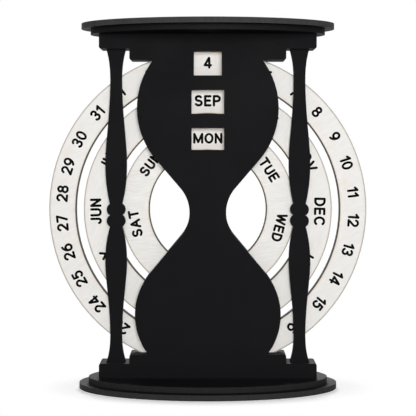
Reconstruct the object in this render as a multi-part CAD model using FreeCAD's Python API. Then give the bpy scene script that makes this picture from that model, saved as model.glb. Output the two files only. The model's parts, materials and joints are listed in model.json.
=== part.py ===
import FreeCAD, Part
import math
import os

# Perpetual desk calendar in the shape of an hourglass, laser-cut from flat board and
# glued up as a stack of layers. Three loose rings carry the dates, the months and the
# days. They turn by hand about one axis, between a front and a back panel, and the
# date that is set shows through three windows in the front.
# Millimetres. X to the right, Y away from the viewer, Z up. The origin is the middle
# of the underside, and the stack of boards is centred on Y = 0.

# Boards, from the front: front panel, pillar board, guide board, back panel
board = 3.0
ring_board = 3.0
ring_side_play = 0.15
guide_board = ring_board + 2 * ring_side_play
stack_depth = 3 * board + guide_board
front_y = -stack_depth / 2
pillar_y = front_y + board
guide_y = pillar_y + board
back_y = guide_y + guide_board
ring_y = guide_y + ring_side_play

# Hourglass: two round bulbs and a round waist, joined by straight shoulders that lean
# from the upright by these angles in degrees. A rise is from a step to the widest part of a bulb.
waist_half_width = 9.9
waist_radius = 20.0
high_bulb_half_width = 38.3
high_bulb_radius = 43.0
high_bulb_rise = 26.05
high_shoulder_lean = 40.5
low_bulb_half_width = 39.4
low_bulb_radius = 35.0
low_bulb_rise = 21.5
low_shoulder_lean = 39.8


def neck_height(bulb_half_width, bulb_radius, lean):
    """Height between the waist and the widest part of a bulb."""
    lean = math.radians(lean)
    radii = bulb_radius + waist_radius
    across = bulb_half_width - waist_half_width - radii * (1 - math.cos(lean))
    return radii * math.sin(lean) + across / math.tan(lean)


# Heights of the stack, built up from the foot. The low blocks stand on two plates.
low_block_height = 8.0
low_step_height = 4.8
high_block_height = 8.0
high_step_height = 6.1
corner_radius = 1.1
panel_low = 2 * board
low_block_top = panel_low + low_block_height
low_step_top = low_block_top + low_step_height
low_bulb_height = low_step_top + low_bulb_rise
waist_height = low_bulb_height + neck_height(low_bulb_half_width, low_bulb_radius,
                                             low_shoulder_lean)
high_bulb_height = waist_height + neck_height(high_bulb_half_width, high_bulb_radius,
                                              high_shoulder_lean)
high_step_bottom = high_bulb_height + high_bulb_rise
high_block_bottom = high_step_bottom + high_step_height
panel_high = high_block_bottom + high_block_height

# Flat baluster pillars beside the bulbs, symmetric about two beads level with the waist
pillar_gap = 4.7
pillar_belly_width = 11.6
pillar_neck_width = 6.25
pillar_end_width = 10.6
bead_drop = 1.7
bead_pitch = 6.2
bead_width = 10.1
bead_notch_width = 6.6
bead_height = waist_height - bead_drop
widest_bulb = max(high_bulb_half_width, low_bulb_half_width)
pillar_place = widest_bulb + pillar_gap + pillar_belly_width / 2
# Heights between the outer bead notch and the block: shoulder, belly, taper, neck, flare
baluster_shares = (0.07, 0.24, 0.50, 0.79, 0.91)
# Widths at the shoulder and the taper, between notch and belly and between neck and
# belly, and at the flare, between neck and end
shoulder_share = 0.5
taper_share = 0.5
flare_share = 0.25

# Widths of the stepped blocks: the block reaches past the pillars, the step stops short
block_ledge = 3.65
step_gap = 2.2
block_half_width = pillar_place + pillar_end_width / 2 + block_ledge
step_half_width = pillar_place - pillar_end_width / 2 - step_gap

# Oval plates of the base and the cap. A ledge is how far a plate reaches past the block
# or plate that it meets, along the width, and a shelf is the same along the depth.
base_step_ledge = 6.15
base_step_shelf = 18.35
base_foot_ledge = 5.1
base_foot_shelf = 4.0
cap_step_ledge = 5.15
cap_step_shelf = 18.35
cap_ledge = 5.0
cap_shelf = 4.0
base_step_half_width = block_half_width + base_step_ledge
base_step_half_depth = stack_depth / 2 + base_step_shelf
cap_step_half_width = block_half_width + cap_step_ledge
cap_step_half_depth = stack_depth / 2 + cap_step_shelf

# Tabs at both ends of the stack, which sit in slots of the two step plates
tab_width = 14.0
tab_inset = 6.4
tab_play = 0.1
tab_place = step_half_width - tab_inset - tab_width / 2

# Rings, all about one axis. The date ring fills the height that the webs of the two
# blocks leave, and guides fill the gaps between the rings.
bottom_web = 4.2
top_web = 8.05
ring_play = 0.3
ring_gap = 4.1
date_ring_width = 14.8
month_ring_width = 16.0
day_ring_width = 15.9
guide_inset = 1.0
date_ring_radius = (panel_high - panel_low - bottom_web - top_web) / 2 - ring_play
date_ring_bore = date_ring_radius - date_ring_width
month_ring_radius = date_ring_bore - ring_gap
month_ring_bore = month_ring_radius - month_ring_width
day_ring_radius = month_ring_bore - ring_gap
day_ring_bore = day_ring_radius - day_ring_width
ring_axis_height = panel_low + bottom_web + ring_play + date_ring_radius

# Windows, each over the top of its ring, and the height of its middle over the bore
date_window_rise = 7.2
month_window_rise = 6.5
day_window_rise = 6.4
date_window_width = 15.2
word_window_width = 17.7
date_window_height = 13.2
month_window_height = 13.0
day_window_height = 11.8

# One overrun for every cutting solid
overrun = 5.0


def point(x, z, y=0):
    """A point of a board's outline, which lies in the XZ plane."""
    return FreeCAD.Vector(x, y, z)


def line(a, b):
    return Part.makeLine(a, b)


def arc(a, middle, b):
    return Part.Arc(a, middle, b).toShape()


def cut_board(edges, y, thickness):
    """A flat board with the outline drawn by the edges, its front face at y."""
    face = Part.Face(Part.Wire(edges))
    face.translate(FreeCAD.Vector(0, y, 0))
    return face.extrude(FreeCAD.Vector(0, thickness, 0))


def slab(x_low, x_high, z_low, z_high, y, thickness):
    corner = point(x_low, z_low, y)
    return Part.makeBox(x_high - x_low, thickness, z_high - z_low, corner)


def joined(shapes):
    return shapes[0].fuse(shapes[1:]).removeSplitter()


def disc(radius, y, thickness):
    centre = point(0, ring_axis_height, y)
    return Part.makeCylinder(radius, thickness, centre, FreeCAD.Vector(0, 1, 0))


def oval_plate(half_width, half_depth, z):
    """Oval plate lying flat, with its underside at z."""
    rim = Part.Ellipse(FreeCAD.Vector(0, 0, z), half_width, half_depth).toShape()
    return Part.Face(Part.Wire([rim])).extrude(FreeCAD.Vector(0, 0, board))


def bulb_side(side, half_width, radius, height, lean, end_z, inset):
    """Points of one side of a bulb: at its end, its widest, and where its shoulder
    leaves it and meets the waist."""
    lean = math.radians(lean)
    centre_x = half_width - radius
    radius = radius - inset
    waist_x = waist_half_width + waist_radius
    waist_r = waist_radius + inset
    down = math.copysign(math.sin(lean), waist_height - height)
    end_x = centre_x + math.sqrt(radius ** 2 - (end_z - height) ** 2)
    return (point(side * end_x, end_z),
            point(side * (centre_x + radius), height),
            point(side * (centre_x + radius * math.cos(lean)), height + radius * down),
            point(side * (waist_x - waist_r * math.cos(lean)), waist_height - waist_r * down))


def half_hourglass(side, inset):
    """Edges of one side of the hourglass, from its top to its foot, moved in by inset."""
    top, high_widest, high_off, high_waist = bulb_side(
        side, high_bulb_half_width, high_bulb_radius, high_bulb_height,
        high_shoulder_lean, high_step_bottom, inset)
    foot, low_widest, low_off, low_waist = bulb_side(
        side, low_bulb_half_width, low_bulb_radius, low_bulb_height,
        low_shoulder_lean, low_step_top, inset)
    return [
        line(point(top.x, panel_high), top),
        arc(top, high_widest, high_off),
        line(high_off, high_waist),
        arc(high_waist, point(side * (waist_half_width - inset), waist_height), low_waist),
        line(low_waist, low_off),
        arc(low_off, low_widest, foot),
        line(foot, point(foot.x, panel_low)),
    ]


def hourglass(y, thickness, inset=0):
    right = half_hourglass(1, inset)
    left = half_hourglass(-1, inset)
    across_top = line(left[0].Vertexes[0].Point, right[0].Vertexes[0].Point)
    across_foot = line(right[-1].Vertexes[-1].Point, left[-1].Vertexes[-1].Point)
    edges = [across_top] + right + [across_foot] + left[::-1]
    return cut_board(edges, y, thickness)


def block(half_width, fixed_z, free_z, y, thickness):
    """A block across the stack, with its two free corners rounded."""
    turn = math.copysign(corner_radius, fixed_z - free_z)
    inward = corner_radius * (1 - math.cos(math.pi / 4))
    rise = math.copysign(inward, fixed_z - free_z)
    edges = [line(point(-half_width, fixed_z), point(half_width, fixed_z))]
    for side in (1, -1):
        x = side * half_width
        up = point(x, free_z + turn)
        tip = point(x - side * inward, free_z + rise)
        along = point(x - side * corner_radius, free_z)
        edges.append(line(point(x, fixed_z), up))
        edges.append(arc(up, tip, along))
    edges.append(line(point(half_width - corner_radius, free_z),
                      point(corner_radius - half_width, free_z)))
    return cut_board(Part.__sortEdges__(edges), y, thickness)


def low_blocks(y, thickness):
    """Block, step and tabs at the foot of one layer."""
    tabs = [slab(side * tab_place - tab_width / 2, side * tab_place + tab_width / 2,
                 panel_low - board, low_block_top, y, thickness) for side in (1, -1)]
    return joined([block(block_half_width, panel_low, low_block_top, y, thickness),
                   block(step_half_width, panel_low, low_step_top, y, thickness)] + tabs)


def high_blocks(y, thickness):
    """Block, step and tabs at the head of one layer."""
    tabs = [slab(side * tab_place - tab_width / 2, side * tab_place + tab_width / 2,
                 high_block_bottom, panel_high + board, y, thickness) for side in (1, -1)]
    return joined([block(block_half_width, panel_high, high_block_bottom, y, thickness),
                   block(step_half_width, panel_high, high_step_bottom, y, thickness)] + tabs)


def panel(y, thickness):
    """Whole outline of one layer: the hourglass with its blocks and tabs."""
    return joined([hourglass(y, thickness), low_blocks(y, thickness), high_blocks(y, thickness)])


def window(middle_radius, width, height, y, thickness):
    middle = ring_axis_height + middle_radius
    return slab(-width / 2, width / 2, middle - height / 2, middle + height / 2,
                y - overrun, thickness + 2 * overrun)


def windows(y, thickness):
    sizes = [(date_ring_bore + date_window_rise, date_window_width, date_window_height),
             (month_ring_bore + month_window_rise, word_window_width, month_window_height),
             (day_ring_bore + day_window_rise, word_window_width, day_window_height)]
    return [window(radius, width, height, y, thickness) for radius, width, height in sizes]


def between(shape, x_low, x_high, y, thickness):
    """The part of a layer between two upright lines."""
    keep = slab(x_low, x_high, panel_low - board - overrun, panel_high + board + overrun,
                y, thickness)
    return shape.common(keep)


def part_way(start, end, share):
    return start + share * (end - start)


def half_baluster(side, end_z):
    """Outline edges of one side of a pillar, from the middle notch to the block at end_z."""
    turn = math.copysign(1, end_z - bead_height)
    start_z = bead_height + turn * bead_pitch
    span = end_z - start_z
    shoulder_width = part_way(bead_notch_width, pillar_belly_width, shoulder_share)
    taper_width = part_way(pillar_neck_width, pillar_belly_width, taper_share)
    flare_width = part_way(pillar_neck_width, pillar_end_width, flare_share)
    widths = (shoulder_width, pillar_belly_width, taper_width, pillar_neck_width, flare_width)
    centre = bead_notch_width / 2
    knots = [point(side * centre, start_z)]
    for width, share in zip(widths, baluster_shares):
        knots.append(point(side * width / 2, start_z + share * span))
    knots.append(point(side * pillar_end_width / 2, end_z))
    curve = Part.BSplineCurve()
    curve.interpolate(knots)
    bead = arc(point(side * centre, bead_height),
               point(side * bead_width / 2, bead_height + turn * bead_pitch / 2),
               point(side * centre, start_z))
    return [bead, curve.toShape()]


def pillar(side):
    """Baluster with the pads of its board that lie in the stepped blocks."""
    edges = []
    for edge_side in (1, -1):
        edges += half_baluster(edge_side, high_block_bottom)
        edges += half_baluster(edge_side, low_block_top)
    for z in (high_block_bottom, low_block_top):
        edges.append(line(point(-pillar_end_width / 2, z), point(pillar_end_width / 2, z)))
    shaft = cut_board(Part.__sortEdges__(edges), pillar_y, board)
    shaft.translate(FreeCAD.Vector(side * pillar_place, 0, 0))
    x_low, x_high = sorted((side * step_half_width, side * block_half_width))
    pads = between(panel(pillar_y, board), x_low, x_high, pillar_y, board)
    return joined([shaft, pads])


def guide_ring(outer_radius, inner_radius):
    """Guide band that fills the gap between two rings, where the hourglass hides it."""
    band = disc(outer_radius, guide_y, guide_board).cut(disc(inner_radius, guide_y, guide_board))
    return band.common(hourglass(guide_y, guide_board, guide_inset)).Solids


def ring(radius, bore):
    return disc(radius, ring_y, ring_board).cut(disc(bore, ring_y, ring_board))


def slotted_plate(half_width, half_depth, z):
    """Step plate with the two slots that take the tabs of the stack."""
    plate = oval_plate(half_width, half_depth, z)
    for side in (1, -1):
        half = tab_width / 2 + tab_play
        slot = slab(side * tab_place - half, side * tab_place + half, z - overrun,
                    z + board + overrun, front_y - tab_play, stack_depth + 2 * tab_play)
        plate = plate.cut(slot)
    return plate


def by_height(solids):
    return sorted(solids, key=lambda solid: solid.CenterOfMass.z)


nodes = {}

# Base and cap
nodes["base_foot_plate"] = oval_plate(base_step_half_width + base_foot_ledge,
                                      base_step_half_depth + base_foot_shelf, 0)
nodes["base_step_plate"] = slotted_plate(base_step_half_width, base_step_half_depth, board)
nodes["cap_step_plate"] = slotted_plate(cap_step_half_width, cap_step_half_depth, panel_high)
nodes["cap_plate"] = oval_plate(cap_step_half_width + cap_ledge,
                                cap_step_half_depth + cap_shelf, panel_high + board)

# Front panel, and the board behind it with the pillars beside its middle panel
nodes["front_panel"] = panel(front_y, board).cut(windows(front_y, board))
middle = between(panel(pillar_y, board), -step_half_width, step_half_width, pillar_y, board)
nodes["middle_panel"] = middle.cut(windows(pillar_y, board))
nodes["left_pillar"] = pillar(-1)
nodes["right_pillar"] = pillar(1)

# Guide board: fillers at both ends, bands between the rings and a hub inside the day ring
well = disc(date_ring_radius + ring_play, guide_y, guide_board)
nodes["bottom_filler"] = low_blocks(guide_y, guide_board).cut(well)
nodes["top_filler"] = high_blocks(guide_y, guide_board).cut(well)
outer_bands = by_height(guide_ring(date_ring_bore - ring_play, month_ring_radius + ring_play))
nodes["outer_guide_lower"], nodes["outer_guide_upper"] = outer_bands
inner_bands = by_height(guide_ring(month_ring_bore - ring_play, day_ring_radius + ring_play))
nodes["inner_guide_lower"], nodes["inner_guide_upper"] = inner_bands
hub = disc(day_ring_bore - ring_play, guide_y, guide_board)
nodes["hub_guide"] = hub.common(hourglass(guide_y, guide_board, guide_inset))

# Rings, and the back panel that closes the stack
nodes["date_ring"] = ring(date_ring_radius, date_ring_bore)
nodes["month_ring"] = ring(month_ring_radius, month_ring_bore)
nodes["day_ring"] = ring(day_ring_radius, day_ring_bore)
nodes["back_panel"] = panel(back_y, board)

os.makedirs("parts", exist_ok=True)
for name, shape in nodes.items():
    shape.exportStep("parts/" + name + ".step")
    print(name, len(shape.Solids), "solid", round(shape.Volume), "mm3")
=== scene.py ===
import functools
import json
import math

import bpy
from mathutils import Matrix, Vector

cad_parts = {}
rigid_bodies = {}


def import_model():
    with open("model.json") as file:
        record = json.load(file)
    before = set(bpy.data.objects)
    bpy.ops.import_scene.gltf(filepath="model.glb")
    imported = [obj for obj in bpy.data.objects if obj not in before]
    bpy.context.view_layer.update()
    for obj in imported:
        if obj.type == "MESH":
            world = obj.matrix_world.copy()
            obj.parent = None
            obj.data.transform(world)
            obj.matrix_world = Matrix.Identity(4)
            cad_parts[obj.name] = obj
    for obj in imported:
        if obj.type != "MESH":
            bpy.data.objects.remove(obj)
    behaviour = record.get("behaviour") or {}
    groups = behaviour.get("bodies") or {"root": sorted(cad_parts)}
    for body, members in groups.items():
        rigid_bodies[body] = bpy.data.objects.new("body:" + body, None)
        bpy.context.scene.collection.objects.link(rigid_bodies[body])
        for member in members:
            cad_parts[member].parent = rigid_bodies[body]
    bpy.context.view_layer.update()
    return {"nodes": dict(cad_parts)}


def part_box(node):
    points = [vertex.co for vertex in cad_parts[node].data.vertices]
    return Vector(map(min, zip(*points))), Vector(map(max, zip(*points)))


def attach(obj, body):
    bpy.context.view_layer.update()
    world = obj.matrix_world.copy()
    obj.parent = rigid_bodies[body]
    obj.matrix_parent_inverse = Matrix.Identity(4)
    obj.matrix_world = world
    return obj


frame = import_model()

# One millimetre in metres
MM = 0.001
# The rings turn about one axis, and their front faces carry the marks
ring_low, ring_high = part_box("date_ring")
AXIS_HEIGHT = (ring_low.z + ring_high.z) / 2
RING_FRONT = ring_low.y


def bore_and_rim(ring):
    """Inner and outer radius of a ring, read from its mesh."""
    radii = [math.hypot(spot.co.x, spot.co.z - AXIS_HEIGHT) for spot in ring.data.vertices]
    return min(radii), max(radii)


# Materials

SMOOTH = {"interpolation_type": "SMOOTHSTEP"}
# A mix takes its share at input 0 and two numbers at 2 and 3, or two colours at 6 and 7.
# Mixed colours come out at output 2.
COLOURS = {"data_type": "RGBA"}
MIXED_COLOUR = 2
# A board's faces point along one of these axes
DEPTH_AXIS = 1
HEIGHT_AXIS = 2
# Full depth of the fine relief on every board
RELIEF = 0.05 * MM


def linear(hex_colour):
    """Linear colour of an sRGB hex value."""
    channels = [int(hex_colour[i:i + 2], 16) / 255 for i in (1, 3, 5)]
    return tuple(c / 12.92 if c <= 0.04045 else ((c + 0.055) / 1.055) ** 2.4
                 for c in channels) + (1.0,)


def add_node(tree, kind, settings=None, links=None, output=0):
    """Adds a node with its settings and its inputs, which are values or other nodes' outputs."""
    node = tree.nodes.new(kind)
    for name, value in (settings or {}).items():
        setattr(node, name, value)
    for name, value in (links or {}).items():
        if isinstance(value, bpy.types.NodeSocket):
            tree.links.new(value, node.inputs[name])
        else:
            node.inputs[name].default_value = value
    return node.outputs[output]


def new_material(name):
    """A material, the function that adds nodes to it, and its shader."""
    material = bpy.data.materials.new(name)
    material.use_nodes = True
    tree = material.node_tree
    return material, functools.partial(add_node, tree), tree.nodes["Principled BSDF"]


def finish(shader, looks, ior):
    """Joins the looks to the shader's inputs."""
    for name, output in looks.items():
        shader.id_data.links.new(output, shader.inputs[name])
    shader.inputs["IOR"].default_value = ior


def laser_cut(add, place, face_axis):
    """How far a spot is on a cut edge, from 0 to 1, and the fine ribs that the beam leaves
    there, about 0.5 mm apart, through the thickness of the board."""
    rib_width = 0.45 * MM
    rib_stretch = [1.0, 1.0, 1.0]
    rib_stretch[face_axis] = 0.06
    normal = add("ShaderNodeNewGeometry", output="True Normal")
    across = add("ShaderNodeSeparateXYZ", links={"Vector": normal}, output=face_axis)
    slope = add("ShaderNodeMath", {"operation": "ABSOLUTE"}, {0: across})
    on_edge = add("ShaderNodeMapRange", SMOOTH, {"Value": slope, "From Min": 0.9, "From Max": 0.6})
    through = add("ShaderNodeVectorMath", {"operation": "MULTIPLY"}, {0: place, 1: rib_stretch})
    ribs = add("ShaderNodeTexNoise", links={"Vector": through, "Scale": 1 / rib_width})
    return on_edge, ribs


def painted_board(name, face_axis, edge_colours, sheen, bare_reach=0):
    """Laser-cut fibreboard sprayed black. The faces are even and dull, with a faint cloud in
    their gloss, and the cut edges are greyer, because they drink the paint. The plates' edge
    colours also carry painted light and shade, one grey to a plate. Edges that are nearer than
    the bare reach to the middle are the windows' walls. The spray misses them,
    so they stay as brown as the laser left them."""
    cloud_width = 22 * MM
    grit_width = 0.5 * MM
    grit_share = 0.4
    darkest, lightest = edge_colours
    smoothest, roughest, ior = sheen
    material, add, shader = new_material(name)
    place = add("ShaderNodeTexCoord", output="Object")
    on_edge, ribs = laser_cut(add, place, face_axis)
    cloud = add("ShaderNodeTexNoise", links={"Vector": place, "Scale": 1 / cloud_width,
                                             "Detail": 4})
    grit = add("ShaderNodeTexNoise", links={"Vector": place, "Scale": 1 / grit_width})

    face = add("ShaderNodeMix", COLOURS, {0: cloud, 6: linear("#09090b"), 7: linear("#131315")},
               MIXED_COLOUR)
    edge = add("ShaderNodeMix", COLOURS, {0: ribs, 6: linear(darkest), 7: linear(lightest)},
               MIXED_COLOUR)
    if bare_reach:
        burnt = add("ShaderNodeMix", COLOURS,
                    {0: ribs, 6: linear("#6e5840"), 7: linear("#a3835f")}, MIXED_COLOUR)
        sideways = add("ShaderNodeSeparateXYZ", links={"Vector": place})
        aside = add("ShaderNodeMath", {"operation": "ABSOLUTE"}, {0: sideways})
        bare = add("ShaderNodeMath", {"operation": "LESS_THAN"}, {0: aside, 1: bare_reach})
        edge = add("ShaderNodeMix", COLOURS, {0: bare, 6: edge, 7: burnt}, MIXED_COLOUR)
    colour = add("ShaderNodeMix", COLOURS, {0: on_edge, 6: face, 7: edge}, MIXED_COLOUR)

    dulled = add("ShaderNodeMath", {"operation": "MULTIPLY_ADD"},
                 {0: grit, 1: grit_share, 2: cloud})
    rough = add("ShaderNodeMapRange", SMOOTH, {"Value": dulled, "From Min": 0.45, "From Max": 0.95,
                                               "To Min": smoothest, "To Max": roughest})
    relief = add("ShaderNodeMix", links={0: on_edge, 2: grit, 3: ribs})
    bump = add("ShaderNodeBump", links={"Height": relief, "Strength": 0.12, "Distance": RELIEF})
    finish(shader, {"Base Color": colour, "Roughness": rough, "Normal": bump}, ior)
    return material


def washed_ring(name, bore, rim, grain_angle, darkest, lightest):
    """Birch plywood under a thin white wash. The grain shows through as faint wisps, the
    laser has browned the cut edges, and the heat has tanned the wash beside them."""
    sway_width = 14 * MM
    sway_height = 6 * MM
    wisp_width = 0.9 * MM
    wisp_stretch = (0.08, 1, 1)
    blotch_width = 9 * MM
    smoke_width = 3 * MM
    smoke_reach = 1.6 * MM
    material, add, shader = new_material(name)
    place = add("ShaderNodeTexCoord", output="Object")
    on_edge, ribs = laser_cut(add, place, DEPTH_AXIS)

    centred = add("ShaderNodeVectorMath", {"operation": "SUBTRACT"},
                  {0: place, 1: (0, 0, AXIS_HEIGHT)})
    turned = add("ShaderNodeVectorRotate", {"rotation_type": "Y_AXIS"},
                 {"Vector": centred, "Angle": math.radians(grain_angle)})
    sway = add("ShaderNodeTexNoise", links={"Vector": turned, "Scale": 1 / sway_width})
    bend = add("ShaderNodeVectorMath", {"operation": "SCALE"},
               {0: (0, 0, sway_height), "Scale": sway})
    wavy = add("ShaderNodeVectorMath", {"operation": "ADD"}, {0: turned, 1: bend})
    along = add("ShaderNodeVectorMath", {"operation": "MULTIPLY"}, {0: wavy, 1: wisp_stretch})
    wisps = add("ShaderNodeTexNoise", links={"Vector": along, "Scale": 1 / wisp_width,
                                             "Detail": 3, "Roughness": 0.55})
    wash = add("ShaderNodeMix", COLOURS, {0: wisps, 6: linear(darkest), 7: linear(lightest)},
               MIXED_COLOUR)
    blotch = add("ShaderNodeTexNoise", links={"Vector": place, "Scale": 1 / blotch_width,
                                              "Detail": 4, "Roughness": 0.6})
    bare = add("ShaderNodeMapRange", SMOOTH, {"Value": blotch, "From Min": 0.5, "From Max": 0.75,
                                              "To Max": 0.6})
    wash = add("ShaderNodeMix", COLOURS, {0: bare, 6: wash, 7: linear("#e9e0d6")}, MIXED_COLOUR)

    # The beam cut the bore more slowly, so it is tanned and charred more than the rim
    flat = add("ShaderNodeVectorMath", {"operation": "MULTIPLY"}, {0: centred, 1: (1, 0, 1)})
    radius = add("ShaderNodeVectorMath", {"operation": "LENGTH"}, {0: flat}, "Value")
    from_bore = add("ShaderNodeMath", {"operation": "SUBTRACT"}, {0: radius, 1: bore})
    from_rim = add("ShaderNodeMath", {"operation": "SUBTRACT"}, {0: rim, 1: radius})
    smoke = add("ShaderNodeTexNoise", links={"Vector": place, "Scale": 1 / smoke_width,
                                             "Detail": 3, "Roughness": 0.6})
    for gap, tan, scorch in ((from_bore, 0.6, 1), (from_rim, 0.25, 0.5)):
        ragged = add("ShaderNodeMath", {"operation": "MULTIPLY_ADD"},
                     {0: smoke, 1: -smoke_reach, 2: gap})
        heat = add("ShaderNodeMapRange", SMOOTH, {"Value": ragged, "From Min": 0.9 * MM,
                                                  "From Max": -0.7 * MM, "To Max": tan})
        wash = add("ShaderNodeMix", COLOURS, {0: heat, 6: wash, 7: linear("#d9bf9f")},
                   MIXED_COLOUR)
        char = add("ShaderNodeMapRange", SMOOTH, {"Value": gap, "From Min": 0.8 * MM,
                                                  "From Max": 0.4 * MM, "To Max": scorch})
        wash = add("ShaderNodeMix", COLOURS, {0: char, 6: wash, 7: linear("#2e2620")},
                   MIXED_COLOUR)

    burnt = add("ShaderNodeMix", COLOURS, {0: ribs, 6: linear("#120c0a"), 7: linear("#503f33")},
                MIXED_COLOUR)
    colour = add("ShaderNodeMix", COLOURS, {0: on_edge, 6: wash, 7: burnt}, MIXED_COLOUR)
    rough = add("ShaderNodeMapRange", SMOOTH, {"Value": wisps, "From Min": 0.3, "From Max": 0.7,
                                               "To Min": 0.6, "To Max": 0.72})
    relief = add("ShaderNodeMix", links={0: on_edge, 2: wisps, 3: ribs})
    bump = add("ShaderNodeBump", links={"Height": relief, "Strength": 0.15, "Distance": RELIEF})
    finish(shader, {"Base Color": colour, "Roughness": rough, "Normal": bump}, 1.45)
    return material


def printing_ink():
    """Thick black screen-printing ink: dead black and matt, with a faint mottle in its gloss."""
    mottle_width = 0.8 * MM
    material, add, shader = new_material("black_printing_ink")
    place = add("ShaderNodeTexCoord", output="Object")
    mottle = add("ShaderNodeTexNoise", links={"Vector": place, "Scale": 1 / mottle_width})
    colour = add("ShaderNodeMix", COLOURS, {0: mottle, 6: linear("#020202"), 7: linear("#0a0a0a")},
                 MIXED_COLOUR)
    rough = add("ShaderNodeMapRange", SMOOTH, {"Value": mottle, "From Min": 0.3, "From Max": 0.7,
                                               "To Min": 0.6, "To Max": 0.75})
    finish(shader, {"Base Color": colour, "Roughness": rough}, 1.12)
    return material


# The upright boards are matt and the plates satin: the least and the greatest roughness of
# the paint, and its IOR
MATT = (0.56, 0.68, 1.14)
SATIN = (0.5, 0.6, 1.15)
# The darkest and the lightest grey of a cut edge, which is greyer because it drinks the paint.
# The greys differ from plate to plate only as painted light and shade: the cap step plate's rim
# is painted dark as the shade under the cap plate, and the cap plate's rim lightest as painted
# light.
UPRIGHT_EDGES = ("#161618", "#2c2c30")
PLATE_EDGES_WITH_PAINTED_LIGHT = {"base_foot_plate": ("#222223", "#373738"), "base_step_plate": ("#171718", "#2b2b2c"),
               "cap_step_plate": ("#0a0a0b", "#161617"), "cap_plate": ("#292929", "#434344")}
# The bare edges reach past the windows, and stop short of the waist
WINDOW_REACH = 9.5 * MM
# Each ring is cut from its own sheet: the angle of its grain in degrees, and the darkest and
# the lightest white that the grain leaves in the wash
RINGS = {"date_ring": (30, "#e0ddd9", "#f5f3f0"), "month_ring": (60, "#dedbd7", "#f6f4f1"),
         "day_ring": (5, "#d8d5d0", "#fcfaf7")}

outer_paint = painted_board("matt_black_board", DEPTH_AXIS, UPRIGHT_EDGES, MATT)
inner_paint = painted_board("black_board_burnt_windows", DEPTH_AXIS, UPRIGHT_EDGES, MATT,
                            WINDOW_REACH)
for node_name, node in frame["nodes"].items():
    if node_name in PLATE_EDGES_WITH_PAINTED_LIGHT:
        # Each plate's own edge greys paint the light and shade on its rim, darkest as the shade
        # under the cap plate
        skin = painted_board("satin_black_" + node_name, HEIGHT_AXIS, PLATE_EDGES_WITH_PAINTED_LIGHT[node_name],
                             SATIN)
    elif node_name in RINGS:
        skin = washed_ring("white_washed_" + node_name, *bore_and_rim(node), *RINGS[node_name])
    elif node_name == "middle_panel":
        skin = inner_paint
    else:
        skin = outer_paint
    node.material_slots[0].material = skin


# Marks: a plain stroke alphabet. Each stroke is a row of points on a line that stands 1 high.
BOW_STEP = 15


def bow(x, z, across, up, start, end):
    """Points of an oval arc about (x, z), from one angle in degrees to the other."""
    steps = round(abs(end - start) / BOW_STEP)
    angles = [math.radians(start + (end - start) * k / steps) for k in range(steps + 1)]
    return [(x + across * math.cos(a), z + up * math.sin(a)) for a in angles]


def upright(x=0):
    """Points of a stroke that stands the full height of the line."""
    return [(x, 0), (x, 1)]


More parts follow.
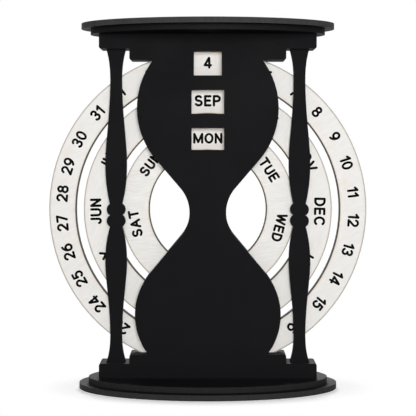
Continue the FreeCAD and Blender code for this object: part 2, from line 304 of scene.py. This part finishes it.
SIX = [bow(0.31, 0.32, 0.31, 0.32, 0, 360), bow(0.62, 0.32, 0.62, 0.68, 180, 105)]
P_BOWL = [(0, 1), (0.33, 1)] + bow(0.33, 0.73, 0.27, 0.27, 90, -90) + [(0, 0.46)]
GLYPHS = {
    "0": [bow(0.31, 0.5, 0.31, 0.5, 0, 360)],
    "1": [[(0.02, 0.77), (0.3, 1)], upright(0.3)],
    "2": [bow(0.3, 0.71, 0.3, 0.29, 165, -30) + [(0, 0)], [(0, 0), (0.61, 0)]],
    "3": [bow(0.29, 0.755, 0.26, 0.245, 150, -90), bow(0.29, 0.255, 0.29, 0.255, 90, -150)],
    "4": [[(0.46, 1), (0, 0.24)], [(0, 0.24), (0.68, 0.24)], upright(0.5)],
    "5": [[(0.55, 1), (0.12, 1)], [(0.12, 1), (0.07, 0.56)],
          bow(0.29, 0.33, 0.31, 0.33, 135, -145)],
    "6": SIX,
    "7": [[(0, 1), (0.6, 1)], [(0.6, 1), (0.2, 0)]],
    "8": [bow(0.31, 0.765, 0.26, 0.235, 0, 360), bow(0.31, 0.265, 0.31, 0.265, 0, 360)],
    "9": [[(0.62 - x, 1 - z) for x, z in stroke] for stroke in SIX],
    "A": [[(0, 0), (0.38, 1)], [(0.38, 1), (0.76, 0)], [(0.13, 0.34), (0.63, 0.34)]],
    "B": [upright(), [(0, 1), (0.34, 1)] + bow(0.34, 0.765, 0.24, 0.235, 90, -90) + [(0, 0.53)],
          [(0.34, 0.53)] + bow(0.36, 0.265, 0.27, 0.265, 90, -90) + [(0, 0)]],
    "C": [bow(0.39, 0.5, 0.39, 0.5, 45, 315)],
    "D": [upright(), [(0, 1), (0.27, 1)] + bow(0.27, 0.5, 0.4, 0.5, 90, -90) + [(0, 0)]],
    "E": [upright(), [(0, 1), (0.54, 1)], [(0, 0.52), (0.48, 0.52)], [(0, 0), (0.54, 0)]],
    "F": [upright(), [(0, 1), (0.52, 1)], [(0, 0.5), (0.44, 0.5)]],
    "G": [bow(0.39, 0.5, 0.39, 0.5, 45, 345), [(0.77, 0.37), (0.77, 0.46)],
          [(0.77, 0.46), (0.44, 0.46)]],
    "H": [upright(), upright(0.62), [(0, 0.52), (0.62, 0.52)]],
    "I": [upright()],
    "J": [[(0.44, 1)] + bow(0.22, 0.24, 0.22, 0.24, 0, -165)],
    "L": [upright(), [(0, 0), (0.5, 0)]],
    "M": [upright(), [(0, 1), (0.44, 0.06)], [(0.44, 0.06), (0.88, 1)], upright(0.88)],
    "N": [upright(), [(0, 1), (0.62, 0)], upright(0.62)],
    "O": [bow(0.39, 0.5, 0.39, 0.5, 0, 360)],
    "P": [upright(), P_BOWL],
    "R": [upright(), P_BOWL, [(0.3, 0.46), (0.61, 0)]],
    "S": [bow(0.31, 0.75, 0.28, 0.25, 35, 255) + bow(0.31, 0.255, 0.31, 0.255, 75, -150)],
    "T": [[(0, 1), (0.68, 1)], upright(0.34)],
    "U": [[(0, 1)] + bow(0.31, 0.31, 0.31, 0.31, 180, 360) + [(0.62, 1)]],
    "V": [[(0, 1), (0.36, 0)], [(0.36, 0), (0.72, 1)]],
    "W": [[(0, 1), (0.25, 0)], [(0.25, 0), (0.5, 0.92)], [(0.5, 0.92), (0.75, 0)],
          [(0.75, 0), (1, 1)]],
    "Y": [[(0, 1), (0.35, 0.46)], [(0.7, 1), (0.35, 0.46)], [(0.35, 0.46), (0.35, 0)]],
}


# Marks of each ring: the words clockwise from the top, the radius of their middles, the
# height, stroke width, gap and stretch of their letters, and the sag and the spread of the
# words. Words at the sides stand lower than even steps would put them, by up to the sag in
# degrees, and further out than the word at the top, by up to the spread.
MONTHS = "SEP OCT NOV DEC JAN FEB MAR APR MAY JUN JUL AUG".split()
DAYS = "MON TUE WED THU FRI SAT SUN".split()
DATES = [str(day) for day in (*range(4, 32), 1, 2, 3)]
MARKS = {
    "date": (DATES, 79.9 * MM, 6.4 * MM, 1.26 * MM, 0.45 * MM, 0.96, 2.7, 0),
    "month": (MONTHS, 59.1 * MM, 6.3 * MM, 1.32 * MM, 0.65 * MM, 1.05, 1.3, 2.1 * MM),
    "day": (DAYS, 38.6 * MM, 5.9 * MM, 1.27 * MM, 0.55 * MM, 1.05, 1.0, 1.9 * MM),
}
# Some words stand further round than that, in degrees clockwise
STRAYS = {"2": 0.9, "10": -0.6, "11": -0.6, "12": -1.1, "13": -1, "14": -0.2, "15": 0.3,
          "16": 2.6, "17": 3.8, "18": 2.4, "19": 1, "20": -1.6, "21": -3.2, "22": -4.8,
          "23": -2.6, "24": -0.7, "29": -0.8, "30": -1.1, "31": -0.7, "NOV": 1.4, "JAN": -2.2,
          "MAY": 1.4, "JUL": -1.6, "TUE": 5.1, "WED": 0.8, "SAT": 2.5}
# The ink stands this proud of the ring, and reaches this deep into it
INK_PROUD = 0.08 * MM
INK_SUNK = 0.02 * MM
# Points that are nearer than this are one point
SAME_POINT = 0.002 * MM
DOT_SIDES = 24


def select_only(pieces):
    """Selects the pieces and nothing else, with the first of them active."""
    bpy.ops.object.select_all(action="DESELECT")
    for piece in pieces:
        piece.select_set(True)
    bpy.context.view_layer.objects.active = pieces[0]


def new_curve(name, points, closed):
    """A curve object of one open or closed poly spline in the XY plane."""
    curve = bpy.data.curves.new(name, "CURVE")
    curve.dimensions = "3D"
    curve.twist_mode = "Z_UP"
    spline = curve.splines.new("POLY")
    spline.points.add(len(points) - 1)
    for spot, (x, y) in zip(spline.points, points):
        spot.co = (x, y, 0, 1)
    spline.use_cyclic_u = closed
    piece = bpy.data.objects.new(name, curve)
    bpy.context.scene.collection.objects.link(piece)
    return piece


def flat_nib(width):
    """Cross-section of a stroke, as wide as the stroke and as thick as the ink."""
    side = width / 2
    return new_curve("nib", [(-side, -INK_SUNK), (side, -INK_SUNK), (side, INK_PROUD),
                             (-side, INK_PROUD)], True)


def dot(point, nib):
    """Round end of a bar."""
    bpy.ops.mesh.primitive_cylinder_add(
        vertices=DOT_SIDES, radius=nib.dimensions.x / 2, depth=INK_PROUD + INK_SUNK,
        location=(*point, (INK_PROUD - INK_SUNK) / 2))
    return bpy.context.object


def bar(points, nib):
    """Flat bar that the nib leaves along the points, with its round ends."""
    closed = math.dist(points[0], points[-1]) < SAME_POINT
    piece = new_curve("bar", points[:-1] if closed else points, closed)
    piece.data.bevel_mode = "OBJECT"
    piece.data.bevel_object = nib
    piece.data.use_fill_caps = True
    select_only([piece])
    bpy.ops.object.convert(target="MESH")
    bpy.ops.object.mode_set(mode="EDIT")
    bpy.ops.mesh.select_all(action="SELECT")
    bpy.ops.mesh.remove_doubles(threshold=SAME_POINT)
    bpy.ops.mesh.normals_make_consistent(inside=False)
    bpy.ops.object.mode_set(mode="OBJECT")
    ends = [] if closed else [points[0], points[-1]]
    return [bpy.context.object] + [dot(end, nib) for end in ends]


def united(parts):
    """The first part with all the others fused to it."""
    rest = bpy.data.collections.new("rest")
    for part in parts[1:]:
        rest.objects.link(part)
    select_only(parts[:1])
    if rest.objects:
        union = parts[0].modifiers.new("union", "BOOLEAN")
        union.operation = "UNION"
        union.solver = "MANIFOLD"
        union.operand_type = "COLLECTION"
        union.collection = rest
        bpy.ops.object.modifier_apply(modifier=union.name)
    for part in parts[1:]:
        bpy.data.objects.remove(part)
    bpy.data.collections.remove(rest)
    return parts[0]


def letter_models(words, rise, stretch, nib):
    """One model of each letter in the words, lying flat at the origin."""
    models = {}
    for letter in sorted(set("".join(words))):
        strokes = [[(x * rise * stretch, z * rise) for x, z in stroke]
                   for stroke in GLYPHS[letter]]
        models[letter] = united([part for points in strokes for part in bar(points, nib)])
    return models


def set_word(word, models, gap, foot, turn):
    """Copies of the models that spell the word in one straight line, with its foot at that
    radius above the centre, and then turned round to its place."""
    stood_up = Matrix.Rotation(math.pi / 2, 4, "X")
    spans = [models[letter].dimensions.x for letter in word]
    x = -(sum(spans) + gap * (len(word) - 1)) / 2
    copies = []
    for letter, span in zip(word, spans):
        copy = models[letter].copy()
        copy.data = models[letter].data.copy()
        bpy.context.scene.collection.objects.link(copy)
        left = min(corner[0] for corner in copy.bound_box)
        spot = Matrix.Translation((x - left, 0, foot))
        copy.data.transform(turn @ spot @ stood_up)
        copies.append(copy)
        x += span + gap
    return copies


def ring_marks(kind):
    """All marks of one ring as one piece. Each word stands with its head outwards."""
    words, radius, height, width, gap, stretch, sag, spread = MARKS[kind]
    nib = flat_nib(width)
    rise = height - width
    models = letter_models(words, rise, stretch, nib)
    bpy.data.objects.remove(nib)

    centre = Matrix.Translation((0, RING_FRONT, AXIS_HEIGHT))
    copies = []
    for place, word in enumerate(words):
        even = 2 * math.pi * place / len(words)
        off_step = sag * math.sin(even) + STRAYS.get(word, 0)
        turn = centre @ Matrix.Rotation(even + math.radians(off_step), 4, "Y")
        foot = radius + spread * math.sin(even) ** 2 - rise / 2
        copies += set_word(word, models, gap, foot, turn)
    for model in models.values():
        bpy.data.objects.remove(model)

    select_only(copies)
    bpy.ops.object.join()
    marks = bpy.context.object
    marks.name = kind + "_marks"
    marks.data.materials.clear()
    marks.data.materials.append(ink)
    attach(marks, kind + "_dial")


ink = printing_ink()
for kind in MARKS:
    ring_marks(kind)


# Stage, light and camera

FLOOR_SIDE = 12
# The paper glows a little by itself
FLOOR_GLOW = 0.35
# It is plain white past this many half widths of the base
WHITE_BEYOND = 1.35
SKY_LIGHT = 0.05
# Soft boxes: their places, sides and watts
LAMPS = {"overhead": ((0, -0.35, 1.05), 0.8, 0.7), "front": ((0.08, -1.1, 0.3), 0.5, 9.5),
         "back": ((0, 0.95, 0.6), 0.45, 7)}


def seen_rays(add):
    """1 for rays that reach the eye straight, by a reflection or through clear matter."""
    seen = add("ShaderNodeLightPath", output="Is Camera Ray")
    for kind in ("Is Glossy Ray", "Is Transmission Ray"):
        ray = add("ShaderNodeLightPath", output=kind)
        seen = add("ShaderNodeMath", {"operation": "MAXIMUM"}, {0: seen, 1: ray})
    return seen


def plain_stage():
    """White paper that keeps the shadow round the base and turns to plain white further off."""
    bpy.ops.mesh.primitive_plane_add(size=FLOOR_SIDE)
    floor = bpy.context.object
    floor.name = "floor"
    material, add, shader = new_material("white_paper_floor")
    shader.inputs["Base Color"].default_value = linear("#f4f4f4")
    shader.inputs["Roughness"].default_value = 0.9
    place = add("ShaderNodeTexCoord", output="Object")
    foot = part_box("base_foot_plate")[1]
    spread = add("ShaderNodeVectorMath", {"operation": "DIVIDE"},
                 {0: place, 1: (foot.x, foot.y, 1)})
    reach = add("ShaderNodeVectorMath", {"operation": "LENGTH"}, {0: spread}, "Value")
    far = add("ShaderNodeMapRange", SMOOTH, {"Value": reach, "From Min": 1,
                                             "From Max": WHITE_BEYOND})
    seen = seen_rays(add)
    lift = add("ShaderNodeMath", {"operation": "MULTIPLY"}, {0: seen, 1: FLOOR_GLOW})
    glow = add("ShaderNodeEmission", links={"Strength": lift})
    near = add("ShaderNodeAddShader", links={0: shader.outputs[0], 1: glow})
    white = add("ShaderNodeEmission", links={"Strength": 1})
    share = add("ShaderNodeMath", {"operation": "MULTIPLY"}, {0: far, 1: seen})
    paper = add("ShaderNodeMixShader", links={0: share, 1: near, 2: white})
    material.node_tree.links.new(paper, material.node_tree.nodes["Material Output"].inputs[0])
    floor.data.materials.append(material)


def white_world():
    """Even soft light, behind which the eye sees white."""
    world = bpy.data.worlds.new("studio")
    bpy.context.scene.world = world
    world.use_nodes = True
    tree = world.node_tree
    add = functools.partial(add_node, tree)
    white = (1, 1, 1, 1)
    light = add("ShaderNodeBackground", links={"Color": white, "Strength": SKY_LIGHT})
    backdrop = add("ShaderNodeBackground", links={"Color": white, "Strength": 1})
    sky = add("ShaderNodeMixShader", links={0: seen_rays(add), 1: light, 2: backdrop})
    tree.links.new(sky, tree.nodes["World Output"].inputs[0])


def soft_light(name, place, side, power):
    """Square soft box that faces the middle of the calendar."""
    data = bpy.data.lights.new(name, "AREA")
    data.size = side
    data.energy = power
    lamp = bpy.data.objects.new(name, data)
    bpy.context.scene.collection.objects.link(lamp)
    lamp.location = place
    aim = Vector((0, 0, AXIS_HEIGHT)) - lamp.location
    lamp.rotation_euler = aim.to_track_quat("-Z", "Y").to_euler()


# The camera stands level in front of the panel. Its horizon lies at row 148 of the
# photograph's 416 rows, and the calendar's axis at column 207.8.
IMAGE_SIDE = 416
HORIZON_ROW = 148
AXIS_COLUMN = 207.8
SENSOR = 36.0
CAMERA_DISTANCE = 0.48
CAMERA_HEIGHT = 130.5 * MM
PIXEL_AT_PANEL = 0.54 * MM


def photo_camera():
    """The photograph's view, with the lens shifted to its horizon and axis."""
    data = bpy.data.cameras.new("camera")
    data.sensor_width = SENSOR
    data.sensor_fit = "HORIZONTAL"
    focal_pixels = CAMERA_DISTANCE / PIXEL_AT_PANEL
    data.lens = focal_pixels * SENSOR / IMAGE_SIDE
    data.shift_x = (IMAGE_SIDE / 2 - AXIS_COLUMN) / IMAGE_SIDE
    data.shift_y = (HORIZON_ROW - IMAGE_SIDE / 2) / IMAGE_SIDE
    camera = bpy.data.objects.new("camera", data)
    bpy.context.scene.collection.objects.link(camera)
    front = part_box("front_panel")[0].y
    camera.location = (0, front - CAMERA_DISTANCE, CAMERA_HEIGHT)
    camera.rotation_euler = (math.pi / 2, 0, 0)
    bpy.context.scene.camera = camera


plain_stage()
white_world()
for name, lamp in LAMPS.items():
    soft_light(name, *lamp)
photo_camera()
bpy.context.scene.view_settings.view_transform = "Standard"
